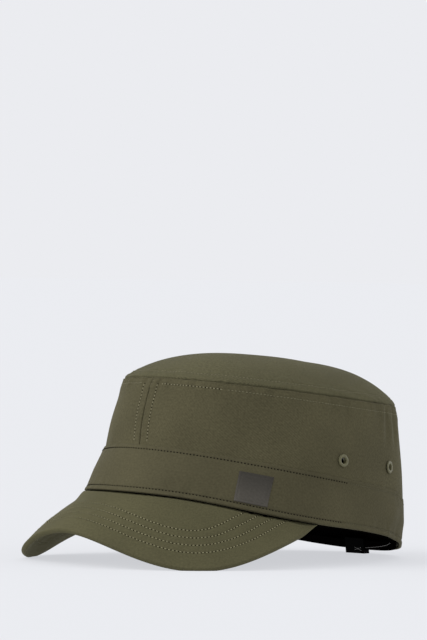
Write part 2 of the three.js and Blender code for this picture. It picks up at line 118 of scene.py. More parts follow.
# Soft upright folds: degrees from the front, half width in degrees, how far out
WALL_FOLDS = (
    (110.4, 2.2, 0.5), (114, 1.6, -0.55), (118.3, 2.1, 0.6), (122.6, 1.7, -0.6), (126.8, 2.3, 0.6),
    (131, 2.2, -0.3),
)
BAND_FOLDS = ((112, 5, -0.35), (120, 4, 0.4), (128, 4, -0.4), (137, 5, 0.5), (150, 6, -0.4))
WALL_FOLD_LEAN, WALL_FOLD_MIDDLE = 0.05, 66          # degrees for each millimetre up from the middle
BAND_FOLD_LEAN, BAND_FOLD_MIDDLE = 0.25, 15
WALL_FOLD_FOOT, WALL_FOLD_TOP, WALL_FOLD_LOSS = (50, 62), (72, 76), 0.45
BAND_FOLD_TOP = (28, 14)

# Peak
PEAK_REACH, PEAK_DROP, PEAK_CAMBER, PEAK_THICKNESS = 32.6, 40.2, 2.4, 3.3
PEAK_END_ANGLE, PEAK_END_OUT = math.radians(79.5), 1.4
PEAK_BELOW_HEM = np.array([0, 0, 0.3])
PEAK_GUIDES = (              # side, ahead, drop
    (0, 1, 0.676), (0.369, 1, 0.676), (0.833, 0.932, 1.095), (1.007, 0.691, 1.459), (1.252, 0.492, 0.589),
)
PEAK_ROWS_FROM_RIM = (11.6, 17, 22.4, 27.8)
PEAK_COLUMNS = 321
PEAK_STEPS = np.concatenate([
    np.linspace(0, 0.15, 26), np.linspace(0.16, 0.9, 68), np.linspace(0.91, 0.985, 14)])
PEAK_EDGE_BULGE = 0.85
PEAK_ROW_GROOVE, PEAK_ROW_GROOVE_HALF, PEAK_ROW_PUCKER_HALF = 0.3, 0.7, 2.6
# Along the peak, -1 is its end on the wearer's right, 0 the front and 1 its end on the left
TAIL_LIFT, FAR_TAIL_LIFT, TAIL_AT = 0.9, 2.6, (0.8, 0.13)
FAR_SIDE_WIDTH = 0.994
FAR_CAMBER, FAR_CAMBER_POWER, FAR_CAMBER_AT = 1.7, 1.7, (-0.5, 0.25)
HEM_FACE_AWAY = 3.6          # from the peak's root to where it comes out from under the hem
HEM_FACE_SOFT = 0.9
MOST_HEM_RISE, RISE_REACH, FAR_RISE_REACH = 3.6, 17, 8
HEM_CLEARANCE, FAR_HEM_CLEARANCE = 0.9, 0.2
POCKET_DEPTH = 0.8
# Stretches of the peak over which these change
CLEARANCE_CHANGE, REACH_CHANGE = (-0.5, 0.1), (-0.4, 0.2)
FAR_END_RISE, END_RISE = (-1.05, -0.75), (0.98, 0.86)
PEAK_THINNING, PEAK_THINNING_FROM = 0.9, 0.93        # toward both ends

# Label: degrees from the front and height of its corners, from the lower front one round
LABEL_CORNERS = ((49.4, 3.9), (60.8, 4.0), (60.1, 22.1), (47.7, 22.1))
LABEL_SIDE, LABEL_OUT, LABEL_CLOTH = 19, 0.55, 0.5
LABEL_FULLNESS, LABEL_EDGE_DROP = 0.25, 0.45
LABEL_ROW, LABEL_ROW_HALF, LABEL_ROW_DEPTH = 1.5, 0.35, 0.14

# Vent rings: degrees from the front and height
EYELETS = {"front": (86.4, 40), "back": (115.4, 41.8)}
EYELET_HOLE = 2.2
RING_OUT, RING_SIDES = 0.15, 40
# The ring's section, as radius and distance out from the wall: its roll, then the rest
ROLL_AT, ROLL_HALF = (2.8, 0.5), (0.95, 0.55)
RING_SECTION = (
    (1.95, 0.3), (1.9, 0.0), (1.9, -1.2), (1.95, -1.9), (3.0, -2.1), (3.1, -1.7), (2.2, -1.5), (2.2, 0.2),
    (3.8, 0.2),
)

# Strap inside the back, with the adjuster's sewn cross, and a grey thread along the strap's upper edge as a
# painted highlight
STRAP_TURN = math.radians(48)                        # to either side of the back
STRAP_LOW, STRAP_HIGH, STRAP_CLOTH = -0.8, 4.2, 1.0
STRAP_END_OUT, STRAP_SAG = -3.0, 2.8
STRAP_ROUNDING, STRAP_ROUNDING_HEIGHT = 0.3, 0.5
SLIDER_ROUNDING = 0.4
CROSS_TURN, CROSS_LOW, CROSS_HIGH, CROSS_INWARD = (180.6, 187.6), -2.6, 0.0, 3.25
HIGHLIGHT_TURN, HIGHLIGHT_HEIGHT, HIGHLIGHT_INWARD = (134, 182), (3.4, -0.3), 1.1

# Along a stitch: place as a share of its length, then thickness and height as shares of its radius
STITCH_SECTIONS = (
    (-0.5, 0.45, -0.75), (-0.25, 0.95, 0.2), (0, 1, 0.5), (0.25, 0.95, 0.2), (0.5, 0.45, -0.75),
)
STITCH_SIDES = 6


def blend(a, b, share):
    return a + (b - a) * share


def smooth(low, high, x):
    """0 at low, 1 at high, and a soft rise between."""
    share = np.clip((x - low) / (high - low), 0, 1)
    return share * share * (3 - 2 * share)


def ridge(x, middle, half_width):
    return np.exp(-((x - middle) / half_width) ** 2)


def unit(vectors):
    return vectors / np.linalg.norm(vectors, axis=-1, keepdims=True)


def lengths_along(path):
    """Distance of each point of a path from its first one."""
    return np.concatenate([[0], np.cumsum(np.linalg.norm(np.diff(path, axis=0), axis=-1))])


def waves(points, size, wavelength, seed, count=14):
    """Smooth random height at points, about size up and down, with hills about a wavelength apart."""
    rng = np.random.default_rng(seed)
    total = 0
    for _ in range(count):
        direction = unit(rng.normal(size=3))
        turns = 2 * math.pi / (wavelength * rng.uniform(0.7, 1.5))
        total = total + np.sin(points @ direction * turns + rng.uniform(0, 2 * math.pi))
    return size * total / math.sqrt(count)


# The side of the crown, which walls, band, sweatband, label and strap follow
def level(height, column):
    heights, values = LEVELS["height"], LEVELS[column]
    low = blend(values[0], values[1], height / heights[1])
    high = blend(values[1], values[2], (height - heights[1]) / (heights[2] - heights[1]))
    return np.where(height < heights[1], low, high)


def oval(angle, height):
    power = 2 / level(height, "power")
    ahead, side = np.cos(angle), np.sin(angle)
    reach = np.where(ahead > 0, HEM_FRONT * level(height, "front"), HEM_BACK * level(height, "back"))
    half = HEM_WIDTH / 2 * level(height, "width")
    return half * np.sign(side) * np.abs(side) ** power, -reach * np.sign(ahead) * np.abs(ahead) ** power


def signed_turn(angle):
    """Degrees from the middle of the front, from -180 to 180."""
    return np.degrees((angle + math.pi) % (2 * math.pi) - math.pi)


def from_front(angle):
    """Degrees from the middle of the front, 0 to 180, on either side."""
    return np.abs(signed_turn(angle))


def side_point(angle, height, outward):
    """A point of the crown's side, moved outward by a distance."""
    angle, height, outward = np.broadcast_arrays(angle, height, outward)
    away = from_front(angle)
    on_far_side = np.sin(angle) < 0
    drawn_in = HEM_DRAWN_IN * ridge(away, *HEM_DRAWN_IN_TURN)
    drawn_in = drawn_in + FAR_DRAWN_IN * ridge(away, *FAR_DRAWN_IN_TURN) * on_far_side
    outward = outward - drawn_in * smooth(DRAWN_IN_HEIGHT, 0, height)
    outward = outward + FULLNESS * ridge(away, *FULLNESS_TURN) * ridge(height, *FULLNESS_HEIGHT)
    x, y = oval(angle, height)
    next_x, next_y = oval(angle + SMALL_ANGLE, height)
    last_x, last_y = oval(angle - SMALL_ANGLE, height)
    along = unit(np.stack([next_x - last_x, next_y - last_y], -1))
    hem = BAND_HEIGHT * sum(share * np.cos(count * angle) for count, share in HEM_WAVES)
    fade = np.clip(1 - height / BAND_HEIGHT, 0, 1)
    lift = level(height, "tilt") * np.cos(angle) + level(height, "saddle") * np.cos(2 * angle)
    z = height + hem * fade + lift * np.maximum(height, BAND_HEIGHT) * (1 - fade)
    z = z - BAND_DIP * ridge(away, *BAND_DIP_TURN) * ridge(height, *BAND_DIP_HEIGHT)
    return np.stack([x + along[..., 1] * outward, y - along[..., 0] * outward, z], -1)


def seam_angle(height):
    """The front seam drifts to the wearer's left on its way down."""
    down = np.clip((CROWN_HEIGHT - height) / (CROWN_HEIGHT - BAND_HEIGHT), 0, 1)
    return SEAM_LEAN * down ** SEAM_BOW


def all_round(columns):
    """Angles once round the head from the back, without the last one."""
    return np.linspace(0, 2 * math.pi, columns, endpoint=False) + math.pi


# Meshes and pieces
def to_row(points):
    """From the cap's own frame in millimetres to the row frame in metres, with nothing below the floor."""
    x, y, z = points[..., 0], points[..., 1], points[..., 2]
    cosine, sine = math.cos(LEAN), math.sin(LEAN)
    placed = np.stack([x, y * cosine + z * sine, z * cosine - y * sine], -1) + CAP_AT
    placed[..., 2] = np.maximum(placed[..., 2], 0)
    return placed * MM


def smooth_mesh(name, points, faces):
    mesh = bpy.data.meshes.new(name)
    mesh.from_pydata(to_row(points).tolist(), [], faces)
    mesh.polygons.foreach_set("use_smooth", np.ones(len(faces), bool))
    mesh.update()
    return mesh


def grid_mesh(name, points, uv, round_about=False, skip=None, middle=None):
    """A smooth mesh from rows of points in the cap's frame. uv is in millimetres on the cloth and
    has one column more than points when the rows close on themselves. A middle closes the last row."""
    rows, columns = points.shape[:2]
    spans = columns if round_about else columns - 1
    row, column = np.meshgrid(np.arange(rows - 1), np.arange(spans), indexing="ij")
    if skip is not None:
        row, column = row[~skip], column[~skip]
    row, column = row.ravel(), column.ravel()
    corners = [(row, column), (row, column + 1), (row + 1, column + 1), (row + 1, column)]
    faces = np.stack([r * columns + c % columns for r, c in corners], -1).tolist()
    loops = np.stack([uv[r, c] for r, c in corners], 1).reshape(-1, 2)
    vertices = points.reshape(-1, 3)
    if middle is not None:
        last_ring = (rows - 1) * columns
        faces += [(last_ring + i, last_ring + (i + 1) % columns, len(vertices)) for i in range(columns)]
        fan = np.stack([uv[-1, :-1], uv[-1, 1:], np.zeros((columns, 2))], 1)
        loops = np.concatenate([loops, fan.reshape(-1, 2)])
        vertices = np.concatenate([vertices, [middle]])
    mesh = smooth_mesh(name, vertices, faces)
    layer = mesh.uv_layers.new(name="cloth")
    layer.data.foreach_set("uv", loops.ravel().astype(np.float32))
    return mesh


def cloth_uv(points, round_about=False):
    """Lengths along the middle row and along each column, in millimetres."""
    ring = np.concatenate([points, points[:, :1]], 1) if round_about else points
    along = lengths_along(ring[len(ring) // 2])
    upward = np.stack([lengths_along(column) for column in ring.swapaxes(0, 1)], 1)
    return np.stack([np.broadcast_to(along, upward.shape), upward], -1)


def new_piece(mesh, material, nodes=()):
    """A visible piece with its mesh's name, in place of the named CAD nodes."""
    mesh.materials.append(material)
    made = bpy.data.objects.new(mesh.name, mesh)
    bpy.context.scene.collection.objects.link(made)
    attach(made, "root")
    if nodes:
        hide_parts(*nodes)
    return made


def thicken(piece, thickness, inside=None):
    """Cloth with a thickness, inward from the mesh, with another material on its inner face if given."""
    solid = piece.modifiers.new("cloth thickness", "SOLIDIFY")
    if inside:
        piece.data.materials.append(inside)
        solid.material_offset = 1
    solid.thickness = thickness * MM
    solid.offset = -1
    solid.use_even_offset = False


# Materials
def tone(red, green, blue):
    """Linear colour from display values of 0 to 255."""
    shares = [value / 255 for value in (red, green, blue)]
    return tuple(s / 12.92 if s <= 0.04045 else ((s + 0.055) / 1.055) ** 2.4 for s in shares)


def set_inputs(tree, node, inputs):
    """Inputs by name or number, each a value or another node's output."""
    for socket, value in inputs.items():
        if isinstance(value, bpy.types.NodeSocket):
            tree.links.new(value, node.inputs[socket])
        else:
            node.inputs[socket].default_value = value


def add_node(tree, kind, inputs, **settings):
    made = tree.nodes.new("ShaderNode" + kind)
    for setting, value in settings.items():
        setattr(made, setting, value)
    set_inputs(tree, made, inputs)
    return made


def noise(tree, place, scale, detail):
    return add_node(tree, "TexNoise", {"Vector": place, "Scale": scale, "Detail": detail}).outputs["Fac"]


def wave(tree, place, scale, direction, uneven):
    inputs = {"Vector": place, "Scale": scale, **uneven}
    return add_node(tree, "TexWave", inputs, bands_direction=direction).outputs["Fac"]


def add_scaled(tree, value, factor, other):
    """value * factor + other."""
    return add_node(tree, "Math", {0: value, 1: factor, 2: other}, operation="MULTIPLY_ADD").outputs[0]


def multiply(tree, value, factor):
    return add_node(tree, "Math", {0: value, 1: factor}, operation="MULTIPLY").outputs[0]


def spread(tree, value, low, high, from_low=0, from_high=1):
    """value carried from one range to another."""
    inputs = {"Value": value, "From Min": from_low, "From Max": from_high, "To Min": low, "To Max": high}
    return add_node(tree, "MapRange", inputs).outputs[0]


def bumpy(tree, height, strength, depth):
    inputs = {"Height": height, "Strength": strength, "Distance": depth}
    return add_node(tree, "Bump", inputs).outputs["Normal"]


def scaled_colour(tree, colour, share):
    inputs = {0: tone(*colour), "Scale": share}
    return add_node(tree, "VectorMath", inputs, operation="SCALE").outputs["Vector"]


def new_material(name):
    material = bpy.data.materials.new(name)
    material.use_nodes = True
    tree = material.node_tree
    return material, tree, tree.nodes["Principled BSDF"]


# Cloth: scales of the slanted ribs, the yarns, their fine fuzz and the wide patches
RIB_TURN = math.radians(58)
RIB_SCALE, YARN_SCALE, FUZZ_SCALE, PATCH_SCALE = 0.42, 0.9, 0.75, 28
YARN_HEIGHT, FUZZ_HEIGHT = 0.5, 2.2                  # beside ribs of height 1
GRAIN_RANGE, GRAIN_CONTRAST = (0.65, 3.05), 0.45
PATCH_RANGE = (0.3, 0.7)
CLOTH_BUMP, CLOTH_BUMP_DEPTH = 0.35, 0.00016
CLOTH_ROUGHNESS_CHANGE = 0.06
SHEEN_ROUGHNESS, SHEEN_TINT = 0.22, (0.8, 0.78, 0.6, 1)
PLAIN_BUMP, PLAIN_BUMP_DEPTH, PLAIN_SCALE = 0.15, 0.0001, 600


def cloth_material(
        name, colour, weave=1.0, roughness=0.9, sheen=0.1, mottle=0.1, specular=0.08, painted_light_fade=None):
    """A fine twill: slanted ribs and yarns in the bump and a little in the colour. The last argument is
    painted light: the share of the colour at the lower and upper end of a small piece, and its height."""
    material, tree, shader = new_material(name)
    place = tree.nodes.new("ShaderNodeTexCoord").outputs
    slanted = add_node(tree, "Mapping", {"Vector": place["UV"], "Rotation": (0, 0, RIB_TURN)}).outputs[0]
    ribs = wave(tree, slanted, RIB_SCALE, "X", {"Distortion": 0.8, "Detail": 1.0, "Detail Scale": 1.5})
    yarns = wave(tree, place["UV"], YARN_SCALE, "Y", {"Distortion": 0.5})
    fuzz = noise(tree, place["UV"], FUZZ_SCALE, 5)
    patches = noise(tree, place["Object"], PATCH_SCALE, 3)
    grain = add_scaled(tree, fuzz, FUZZ_HEIGHT, add_scaled(tree, yarns, YARN_HEIGHT, ribs))
    contrast = GRAIN_CONTRAST * weave
    grain_share = spread(tree, grain, 1 - contrast, 1 + contrast, *GRAIN_RANGE)
    share = multiply(tree, grain_share, spread(tree, patches, 1 - mottle, 1 + mottle, *PATCH_RANGE))
    # Painted light: the colour fades from one share at the piece's foot to another at its top.
    if painted_light_fade:
        lower, upper, height = painted_light_fade
        upward = add_node(tree, "SeparateXYZ", {0: place["UV"]}).outputs["Y"]
        share = multiply(tree, spread(tree, upward, lower, upper, 0, height), share)
    least, most = roughness - CLOTH_ROUGHNESS_CHANGE, roughness + CLOTH_ROUGHNESS_CHANGE
    set_inputs(tree, shader, {
        "Base Color": scaled_colour(tree, colour, share),
        "Normal": bumpy(tree, grain, CLOTH_BUMP * weave, CLOTH_BUMP_DEPTH),
        "Roughness": spread(tree, patches, least, most),
        "Specular IOR Level": specular,
        "Sheen Weight": sheen,
        "Sheen Roughness": SHEEN_ROUGHNESS,
        "Sheen Tint": SHEEN_TINT,
    })
    return material


def plain_material(name, colour, roughness, grain=0.1, specular=0.4):
    """A near-even surface with a fine grain in roughness, bump and colour."""
    material, tree, shader = new_material(name)
    place = tree.nodes.new("ShaderNodeTexCoord").outputs["Object"]
    fine = noise(tree, place, PLAIN_SCALE, 4)
    set_inputs(tree, shader, {
        "Base Color": scaled_colour(tree, colour, spread(tree, fine, 1 - 2 * grain, 1 + 2 * grain)),
        "Normal": bumpy(tree, fine, PLAIN_BUMP, PLAIN_BUMP_DEPTH),
        "Roughness": spread(tree, fine, roughness - grain, roughness + grain),
        "Specular IOR Level": specular,
    })
    return material


# The top panel, walls, band and peak are one fabric; their small differences in tone are painted light, set
# to how bright each piece looks under these lamps.
crown_cloth = cloth_material("crown cloth", (79, 75, 55))
top_cloth = cloth_material("top cloth", (82, 79, 58), sheen=0.04)
band_cloth = cloth_material("band cloth", (77, 73, 54), weave=0.75)
peak_cloth = cloth_material("peak cloth", (81, 78, 56), weave=0.85)
# Painted shade: the inner face of the walls and top is the same olive fabric, painted near black as the
# shade inside the crown.
inside_cloth_painted_shade = cloth_material("inside cloth painted shade", (9, 8, 6), weave=0.8, sheen=0.0, specular=0.0)
black_elastic = cloth_material(
    "black elastic", (5, 4, 4), weave=0.6, roughness=0.94, sheen=0.0, specular=0.0)
# The label is painted lighter toward its foot as a painted reflection of the pale floor, and darker toward
# its top as painted shade.
label_weave = cloth_material(
    "label weave", (70, 67, 61), weave=0.5, roughness=0.7, sheen=0.04, mottle=0.04,
    painted_light_fade=(1.35, 0.7, LABEL_SIDE))
crown_thread = plain_material("crown thread", (126, 121, 94), 0.8)
soft_thread = plain_material("soft thread", (102, 98, 74), 0.8)
quiet_thread = plain_material("quiet thread", (86, 82, 61), 0.85)
# Painted shade: the band's front stitches are dark for the shadow in their grooves and needle holes, not
# for the thread's own colour.
band_thread_painted_shade = plain_material("band thread painted shade", (24, 21, 13), 0.85, specular=0.1)
peak_thread = plain_material("peak thread", (134, 129, 98), 0.8)
# Grey thread: the adjuster's real sewn cross, and also a painted highlight along the strap's upper edge.
grey_thread_and_painted_highlight = plain_material("strap thread and painted highlight", (140, 138, 135), 0.8)
# Painted shade: a dark material for the needle holes, which are only shadowed hollows in the cloth.
painted_hole_shade = plain_material("needle hole painted shade", (28, 26, 17), 0.95, specular=0.0)
black_plastic = plain_material("black plastic", (5, 5, 5), 0.7, specular=0.02)
ring_paint = plain_material("ring paint", (93, 90, 63), 0.5, specular=0.3)


# Relief that walls and band share
def forms(height, rows):
    return sum(out * ridge(height, middle, half) for middle, half, out in rows)


def puckers(points, height, rows):
    total = 0
    for middle, half, wavelength, upward, seed, out in rows:
        total = total + waves(points * [1, 1, upward], out, wavelength, seed) * ridge(height, middle, half)
    return total


# The crown's walls
def panel_seam(turn, height, points):
    """Relief beside the front and back seams: the doubled cloth, the lap, the seam and its rows."""
    total = 0
    into_corner = np.clip(height - (CROWN_HEIGHT - CORNER), 0, CORNER)
    corner_aside = CORNER - np.sqrt(CORNER ** 2 - into_corner ** 2)
    doubled = DOUBLED_CLOTH + waves(points, *DOUBLED_UNEVEN)
    lap_height = smooth(0, 4, CROWN_HEIGHT - height)
    for seam in (np.degrees(seam_angle(height)), 180):
        away = (turn - seam + 180) % 360 - 180
        aside = np.radians(away) * HEM_WIDTH / 2 - corner_aside
        past_row = np.abs(aside) - SEAM_ROW_ASIDE
        total = total + doubled * smooth(DOUBLED_EDGE, -DOUBLED_EDGE, past_row)
        lap = smooth(-LAP_EDGE, LAP_EDGE, aside) * smooth(LAP_WIDTH, 0.5, aside)
        total = total + LAP * lap * lap_height
        total = total - SEAM_GROOVE * ridge(aside, 0, SEAM_GROOVE_HALF)
        total = total - ROW_GROOVE * ridge(past_row, 0, ROW_GROOVE_HALF)
    return total


def wall_relief(angle, height, points):
    """How far the wall's cloth stands out from its plain surface."""
    turn = signed_turn(angle)
    below_seam = CROWN_HEIGHT - height
    clear_of_edges = smooth(*WALL_CALM_TOP, below_seam) * smooth(*WALL_CALM_FOOT, height)
    out = waves(points, *WALL_UNEVEN) * clear_of_edges
    out = out + forms(height, WALL_FORMS) + puckers(points, height, WALL_PUCKERS)
    out = out - WALL_ROUNDING * smooth(WALL_ROUNDING_REACH, 0, below_seam) ** 2
    dimples = np.sin(angle * HEM_WIDTH / 2 * 2 * math.pi / SEAM_DIMPLE_PITCH)
    out = out + SEAM_DIMPLE * dimples * ridge(below_seam, 0.9, 0.9)
    fading = smooth(*WALL_FOLD_FOOT, height) * (1 - WALL_FOLD_LOSS * smooth(*WALL_FOLD_TOP, height))
    lean = WALL_FOLD_LEAN * (height - WALL_FOLD_MIDDLE)
    for side in (1, -1):
        for middle, half, depth in WALL_FOLDS:
            out = out + depth * ridge(side * (turn - lean), middle, half) * fading
    return out + panel_seam(turn, height, points)


def seam_depth(angle):
    """How deep the seam of the top panel is drawn in: less toward the back and at the far front."""
    away = from_front(angle)
    far_front = ridge(away, *FAR_DRAWN_IN_TURN) * (np.sin(angle) < 0)
    return 1 - SEAM_EASE * smooth(*SEAM_EASE_TURN, away) - FAR_SEAM_EASE * far_front


def lip(angle, height):
    """The wall's upper edge turns in toward the seam of the top panel."""
    return -TUCK * seam_depth(angle) * smooth(CROWN_HEIGHT - TUCK_HEIGHT, CROWN_HEIGHT, height) ** 1.2


def wall_surface(angle, height):
    plain = side_point(angle, height, 0)
    return side_point(angle, height, wall_relief(angle, height, plain) + lip(angle, height))


def crown_wall(side_name, side):
    heights = np.concatenate([
        np.linspace(WALL_FOOT, BAND_HEIGHT - 3, 12),
        np.linspace(BAND_HEIGHT - 2, CROWN_HEIGHT - 1.2, 96),
        CROWN_HEIGHT - np.array([0.9, 0.6, 0.35, 0.15, 0.0])])
    share, height = np.meshgrid(np.linspace(0, 1, 340), heights)
    seam = seam_angle(height)
    angle = blend(seam, math.pi, share) if side > 0 else blend(-math.pi, seam, share)
    points = wall_surface(angle, height)
    skip = np.zeros((points.shape[0] - 1, points.shape[1] - 1), bool)
    centre = (points[:-1, :-1] + points[1:, 1:]) / 2
    for turn, up in EYELETS.values():
        hole = wall_surface(side * math.radians(turn), up)
        skip |= np.linalg.norm(centre - hole, axis=-1) < EYELET_HOLE
    mesh = grid_mesh(f"wall_cloth_{side_name}", points, cloth_uv(points), skip=skip)
    piece = new_piece(mesh, crown_cloth, [f"crown_wall_{side_name}"])
    thicken(piece, WALL_CLOTH, inside_cloth_painted_shade)


# The top panel
TOP_REACH = 80               # from its middle to its seam, about
TOP_LOW = 0.8                # lower in front and higher at the back
TOP_ABOVE_WALL = 0.3
TOP_SLOPE = 0.7              # share of the relief that goes up, and that goes out near the seam
TOP_TUCK, TOP_TUCK_DOWN, TOP_TUCK_REACH = 1.0, 0.5, 0.8
TOP_ROW_GROOVE, TOP_ROW_GROOVE_HALF = 0.22, 0.8
TOP_ROUND_EDGE, TOP_ROUND_EDGE_REACH = 0.8, 5
TOP_OUT_REACH = 30           # the relief goes out only this near the seam


def top_surface(angle, share):
    """A point of the top panel: share 1 is its seam, 0 its middle."""
    rim = side_point(angle, CROWN_HEIGHT, 0)
    z = blend(CROWN_HEIGHT, rim[..., 2], share) + TOP_RISE * (1 - share ** TOP_ROUNDING)
    z = z + TOP_ABOVE_WALL - TOP_LOW * np.cos(angle) * share * (1 - share ** 4)
    points = np.stack([rim[..., 0] * share, rim[..., 1] * share, z], -1)
    inward = (1 - share) * TOP_REACH
    lifted = waves(points, *TOP_UNEVEN) * smooth(*TOP_CALM_EDGE, inward)
    lifted = lifted + waves(points, *TOP_EDGE_UNEVEN) * ridge(inward, 3, 6)
    row_inward = (1 - TOP_PANEL_ROW) * TOP_REACH
    lifted = lifted - TOP_ROW_GROOVE * ridge(inward, row_inward, TOP_ROW_GROOVE_HALF)
    tucked = (smooth(TOP_TUCK_REACH, 0, inward) * seam_depth(angle)) ** 1.5
    points[..., 2] += lifted * TOP_SLOPE - TOP_TUCK_DOWN * tucked
    outward = (lifted * TOP_SLOPE - TOP_TUCK * tucked) * smooth(TOP_OUT_REACH, 0, inward)
    outward = outward - TOP_ROUND_EDGE * smooth(TOP_ROUND_EDGE_REACH, 0, inward) ** 2
    points[..., :2] += unit(points[..., :2]) * outward[..., None]
    return points


def crown_top():
    share = np.concatenate([
        [1, 0.998, 0.995, 0.992], np.linspace(0.987, 0.88, 40), np.linspace(0.87, 0.012, 50)])
    points = top_surface(*np.meshgrid(all_round(400), share))
    plan = np.concatenate([points, points[:, :1]], 1)[..., :2]
    mesh = grid_mesh("top_cloth", points, plan, round_about=True, middle=points[-1].mean(0))
    thicken(new_piece(mesh, top_cloth, ["crown_top"]), WALL_CLOTH, inside_cloth_painted_shade)


# The band
def band_relief(angle, height, points):
    clear_of_edges = smooth(*BAND_CALM_HEM, height) * smooth(*BAND_CALM_TOP, BAND_HEIGHT - height)
    out = waves(points, *BAND_UNEVEN) * clear_of_edges
    out = out + puckers(points, height, BAND_PUCKERS) + forms(height, BAND_FORMS)
    leaning = from_front(angle) - BAND_FOLD_LEAN * (height - BAND_FOLD_MIDDLE)
    for middle, half, depth in BAND_FOLDS:
        out = out + depth * ridge(leaning, middle, half) * smooth(*BAND_FOLD_TOP, height)
    rounded_hem = HEM_ROUNDING * smooth(HEM_ROUNDING_HEIGHT, 0, height) ** 2
    top_starts = BAND_HEIGHT - BAND_TOP_ROUNDING_HEIGHT
    rounded_top = BAND_TOP_ROUNDING * smooth(top_starts, BAND_HEIGHT, height) ** 2
    return out - rounded_hem - rounded_top


def band_surface(angle, height, outward=0):
    relief = band_relief(angle, height, side_point(angle, height, BAND_FACE))
    return side_point(angle, height, BAND_FACE + relief + outward)


def band():
    heights = np.concatenate([
        [0, 0.15, 0.35, 0.6], np.linspace(0.9, 5, 16), np.linspace(5.5, 24.5, 34),
        np.linspace(25, 29.2, 16), BAND_HEIGHT - np.array([0.45, 0.25, 0.1, 0])])
    points = band_surface(*np.meshgrid(all_round(520), heights))
    mesh = grid_mesh("band_cloth", points, cloth_uv(points, True), round_about=True)
    thicken(new_piece(mesh, band_cloth, ["band"]), BAND_CLOTH)


def sweatband():
    share = np.concatenate([[0, 0.01, 0.025, 0.05], np.linspace(0.08, 1, 26)])
    turn, up = np.meshgrid(all_round(320), share)
    drop = blend(SWEATBAND_DROP_FRONT, SWEATBAND_DROP, smooth(*SWEATBAND_DROP_TURN, from_front(turn)))
    height = -drop * (1 - up) + SWEATBAND_TOP * up
    slack = 0.1
    plain = side_point(turn, height, SWEATBAND_FACE)
    soft = waves(plain, *SWEATBAND_UNEVEN) * smooth(*SWEATBAND_CALM_FOOT, height)
    rounded = SWEATBAND_ROUNDING * smooth(SWEATBAND_ROUNDING_HEIGHT, 0, height + drop) ** 2
    points = side_point(turn, height, SWEATBAND_FACE - slack + np.minimum(soft, slack) - rounded)
    mesh = grid_mesh("sweatband_elastic", points, cloth_uv(points, True), round_about=True)
    thicken(new_piece(mesh, black_elastic, ["sweatband"]), SWEATBAND_CLOTH)


# The peak
def peak_rim(along):
    """The curve of the rim, drawn by its guide points from the front to either end."""
    away = np.abs(along)[..., None]
    size = np.array([HEM_WIDTH / 2, -(HEM_FRONT + PEAK_REACH), -PEAK_DROP])
    places = [size * guide for guide in PEAK_GUIDES]
    places.append(side_point(PEAK_END_ANGLE, 0, PEAK_END_OUT) - PEAK_BELOW_HEM)
    order = len(places) - 1
    total = 0
    for i, place in enumerate(places):
        total = total + math.comb(order, i) * away ** i * (1 - away) ** (order - i) * place
    total[..., 2] += np.where(along < 0, FAR_TAIL_LIFT, TAIL_LIFT) * ridge(away[..., 0], *TAIL_AT)
    total[..., 0] *= np.where(along < 0, -FAR_SIDE_WIDTH, 1)
    return total


def peak_face(along, out):
    root = side_point(along * PEAK_END_ANGLE, 0, -WALL_CLOTH) - PEAK_BELOW_HEM
    points = blend(root, peak_rim(along), out[..., None])
    points[..., 2] += PEAK_CAMBER * np.sin(math.pi * out) * (1 - along ** 2)
    points[..., 2] += FAR_CAMBER * np.sin(math.pi * out ** FAR_CAMBER_POWER) * ridge(along, *FAR_CAMBER_AT)
    return points


def rim_distance(points):
    """Distance of each point from the nearest place on the rim."""
    rim = peak_rim(np.linspace(-1, 1, 600))
    nearest = [np.linalg.norm(row[:, None] - rim, axis=-1).min(1) for row in points]
    return np.array(nearest)


def peak_relief(points, from_rim, uneven, row_uneven):
    out = waves(points, *uneven) * smooth(*PEAK_CALM_RIM, from_rim)
    pucker = waves(points, *row_uneven)
    for row in PEAK_ROWS_FROM_RIM:
        out = out - PEAK_ROW_GROOVE * ridge(from_rim, row, PEAK_ROW_GROOVE_HALF)
        out = out + pucker * ridge(from_rim, row, PEAK_ROW_PUCKER_HALF)
    return out


def hem_rise(plain, along):
    """Under the hem's face the peak rises to lie close to it, with a narrow pocket behind."""
    from_hem = np.linalg.norm((plain - plain[:1])[..., :2], axis=-1)
    drop = np.array([
        column[0, 2] - np.interp(HEM_FACE_AWAY, away, column[:, 2])
        for column, away in zip(plain.swapaxes(0, 1), from_hem.T)])
    clearance = blend(FAR_HEM_CLEARANCE, HEM_CLEARANCE, smooth(*CLEARANCE_CHANGE, along))
    reach = blend(FAR_RISE_REACH, RISE_REACH, smooth(*REACH_CHANGE, along))
    at_face = smooth(HEM_FACE_AWAY - HEM_FACE_SOFT, HEM_FACE_AWAY, from_hem)
    rise = np.clip(drop - clearance, 0, MOST_HEM_RISE) * smooth(*FAR_END_RISE, along)
    rise = rise * at_face * smooth(reach, HEM_FACE_AWAY, from_hem)
    rise = rise - POCKET_DEPTH * smooth(0, 1, from_hem) * (1 - at_face)
    return rise * smooth(*END_RISE, np.abs(along))


